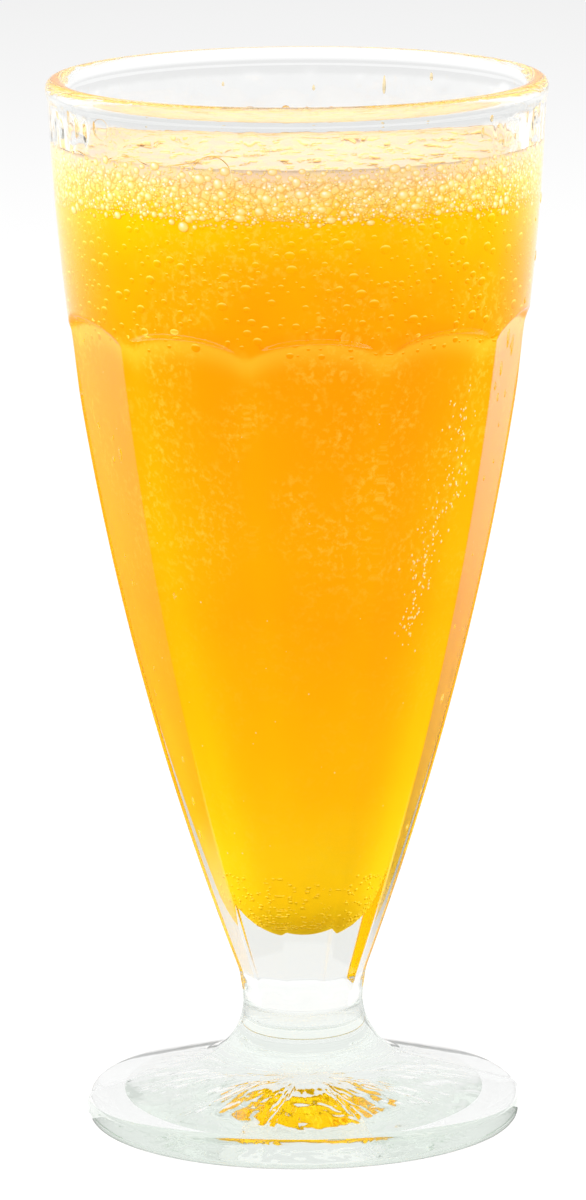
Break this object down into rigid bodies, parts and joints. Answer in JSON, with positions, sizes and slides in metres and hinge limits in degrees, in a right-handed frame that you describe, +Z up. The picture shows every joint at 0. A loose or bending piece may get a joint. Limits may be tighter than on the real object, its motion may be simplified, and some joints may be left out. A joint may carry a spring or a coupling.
{
  "type": "glass of orange soda",
  "caption": "Footed soda glass with a round rim band over flat panels, a short stem and a disc foot, filled with orange soda under a layer of froth.",
  "frame": {"origin": "on the surface that the foot stands on, under the middle of the glass", "axes": "+Z up along the axis of the glass, -Y out through the middle of one flat panel"},
  "size_m": [0.084, 0.0841, 0.179],
  "materials": {
    "clear_glass": "fire-polished pressed glass",
    "orange_soda": "cloudy orange soda",
    "froth": "coarse pale bubbles"
  },
  "bodies": {
    "root": {"glass": "clear_glass", "drink": "orange_soda", "froth": "froth"}
  },
  "joints": []
}
